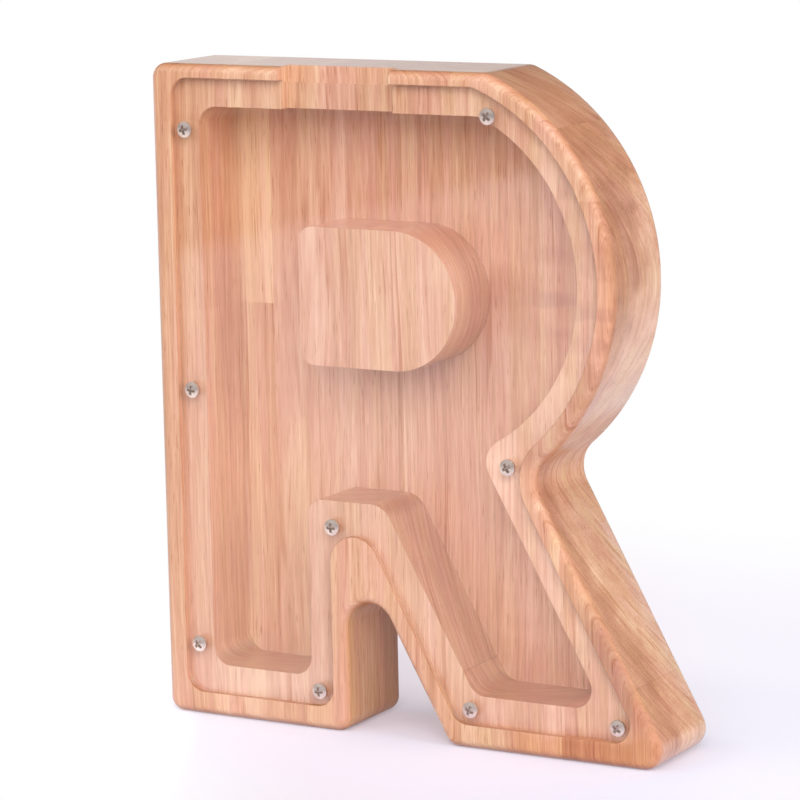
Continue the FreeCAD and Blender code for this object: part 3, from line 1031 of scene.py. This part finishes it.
# %% Screw surface
head_radius = 2.7 * mm
head_height = 1.7 * mm
head_wall = 0.7 * mm
head_edge = 0.25 * mm
thread_top = 1.08 * mm
thread_root = 0.78 * mm
thread_pitch = 0.85 * mm
collar_length = 1.2 * mm
tip_length = 2.0 * mm
cross_length = 3.1 * mm
cross_width = 0.85 * mm
cross_depth = 1.05 * mm
cross_slope = 0.28 * mm
cross_taper = 0.25
edge_rows = 6
ridge_slope = 3.2
tip_power = 0.6
round_steps = 96
row_step = 0.075 * mm
angle = np.linspace(0, 2 * math.pi, round_steps, endpoint=False)[None, :]


def soft_step(value):
    """Smooth step from 0 to 1: three times the square less twice the cube."""
    value = np.clip(value, 0, 1)
    return value * value * (3 - 2 * value)


def cross_recess(across, up):
    """Share of the recess at a point of the head: the deeper of two crossed bars with sloping walls."""
    def bar(along, beside):
        """One bar: full inside its width and length, falling to nothing over the slope."""
        width = soft_step((cross_width / 2 - np.abs(beside)) / cross_slope + 0.5)
        return width * soft_step((cross_length / 2 - np.abs(along)) / cross_slope + 0.5)
    return np.maximum(bar(across, up), bar(up, across))


def head_rows(turn):
    """Rows of the head: a shallow dome with the cross sunk into it, a rounded edge and the flat underside."""
    rise = head_height - head_wall
    dome = (head_radius ** 2 + rise ** 2) / (2 * rise)
    radii = np.arange(row_step, head_radius - head_edge, row_step)[:, None]
    depth = dome - np.sqrt(dome ** 2 - radii ** 2)
    share = cross_recess(radii * np.cos(angle + turn), radii * np.sin(angle + turn))
    sunk = depth + share * (cross_depth - depth) * (1 - cross_taper * radii / head_radius)
    bend = np.linspace(0, math.pi / 2, edge_rows)[:, None]
    edge_radius = head_radius - head_edge + head_edge * np.sin(bend) + 0 * angle
    edge_start = dome - math.sqrt(dome ** 2 - (head_radius - head_edge) ** 2)
    edge_depth = edge_start + head_edge * (1 - np.cos(bend)) + 0 * angle
    low_radius = np.array([[head_radius], [thread_top]]) + 0 * angle
    low_depth = np.full_like(low_radius, head_height)
    radius = np.vstack([radii + 0 * angle, edge_radius, low_radius])
    shares = np.vstack([share, 0 * edge_radius, 0 * low_radius])
    return radius, np.vstack([sunk, edge_depth, low_depth]), shares


def shank_rows(length):
    """Rows of the shank: a ridge winds down the core, fades in below the collar and runs out at the point."""
    down = np.arange(row_step, length - row_step, row_step)[:, None]
    turn = (down / thread_pitch - angle / (2 * math.pi)) % 1.0
    ridge = np.clip(1 - np.abs(turn - 0.5) * ridge_slope, 0, 1)
    fade = soft_step((down - collar_length) / thread_pitch)
    core = thread_top + (thread_root - thread_top) * fade
    radius = core + (thread_top - core) * ridge
    return radius * soft_step((length - down) / tip_length) ** tip_power, head_height + down + 0 * angle


def screw_mesh(name, middle, top, length, turn):
    """Closed screw from rows of rings: four-sided faces between the rows and a fan at each end."""
    head_r, head_d, share = head_rows(turn)
    shank_r, shank_d = shank_rows(length)
    radius = np.vstack([head_r, shank_r])
    depth = np.vstack([head_d, shank_d])
    across = middle[0] + radius * np.cos(angle)
    up = middle[1] + radius * np.sin(angle)
    rings = np.stack([across, top + depth, up], axis=-1).reshape(-1, 3)
    tips = (top + cross_depth, top + head_height + length)
    ends = np.array([(middle[0], tip, middle[1]) for tip in tips])
    rows = len(radius)
    here = np.arange(rows * round_steps).reshape(rows, round_steps)
    beside = np.roll(here, -1, axis=1)
    quads = np.stack([here[:-1], beside[:-1], beside[1:], here[1:]], axis=-1).reshape(-1, 4)
    first, last = len(rings), len(rings) + 1
    fan_top = np.stack([np.full(round_steps, first), beside[0], here[0]], axis=-1)
    fan_end = np.stack([np.full(round_steps, last), here[-1], beside[-1]], axis=-1)
    mesh = bpy.data.meshes.new(name)
    faces = quads.tolist() + fan_top.tolist() + fan_end.tolist()
    mesh.from_pydata(np.vstack([rings, ends]).tolist(), [], faces)
    mesh.polygons.foreach_set("use_smooth", np.ones(len(mesh.polygons), bool))
    recess = np.concatenate([share.ravel(), np.zeros(shank_r.size), [1.0, 0.0]])
    mesh.attributes.new("recess", "FLOAT", "POINT").data.foreach_set("value", recess.astype(np.float32))
    mesh.update()
    return mesh


print("screw thread", thread_pitch / mm, "mm pitch")

# %% [markdown]
# Plated steel
#
# Small screws are plated with zinc, which is cloudy and finely scratched. Beside wood its mirror images
# are warm, and that warmth is also a painted reflection in the steel's own colour. The recess darkens in
# its own shadow, and a mask that comes with the mesh darkens it further, a painted shade.

# %% Screw finish
# The warm tint of the steel is a painted reflection of the wood beside it.
steel_colour = (0.92, 0.78, 0.7, 1.0)
cloudy_colour = (0.86, 0.86, 0.88, 1.0)
# Painted shade in the cross recess, on top of its own shadow.
recess_shade_colour = (0.56, 0.45, 0.39, 1.0)
recess_shade_limits = (0.35, 0.95)
cloud_size = (0.9, 0.9, 0.9)
scratch_size = (0.08, 0.8, 0.35)
steel_roughness = 0.34
scratch_roughness = 0.18
scratch_bump = 0.15
scratch_depth = 0.02 * mm


def make_steel():
    """Zinc-plated steel: cloudy plating, fine scratches, and a painted shade in the recess."""
    material, tree, surface = new_material("plated steel")
    point = millimetres(tree)
    cloud = noise(tree, point, cloud_size, 3.0)
    scratch = noise(tree, point, scratch_size, 2.0)
    recess = node(tree, "Attribute", attribute_name="recess").outputs["Fac"]
    plating = blend(tree, 1.0, steel_colour, blend(tree, cloud, cloudy_colour, plain_white), "MULTIPLY")
    colour = blend(tree, between(tree, recess, *recess_shade_limits), plating, recess_shade_colour)
    rough = add_times(tree, scratch, scratch_roughness, steel_roughness)
    normal = bumped(tree, scratch, scratch_bump, scratch_depth)
    values = {"Base Color": colour, "Metallic": 1.0, "Roughness": rough, "Normal": normal}
    tree.links.new(principled(tree, values), surface)
    return material


steel = make_steel()
print(steel.name, "nodes", len(steel.node_tree.nodes))

# %% [markdown]
# Nine screws
#
# Each screw takes its place and its length from the solid that it stands in for, so it follows when the box
# is resized. Nobody lines up the crosses of small screws, so each one is turned on by the same odd angle.

# %% Screws in place
screw_turn = math.radians(38.0)
screw_nodes = [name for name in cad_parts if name.startswith("screw_")]
for number, name in enumerate(sorted(screw_nodes)):
    low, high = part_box(name)
    middle = ((low.x + high.x) / 2, (low.z + high.z) / 2)
    mesh = screw_mesh(name + "_detailed", middle, low.y, high.y - low.y - head_height, screw_turn * number)
    mesh.materials.append(steel)
    piece = add_object(name + "_detailed", mesh)
    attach(piece, name)
    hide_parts(name)
    print(name, "faces", len(mesh.polygons))
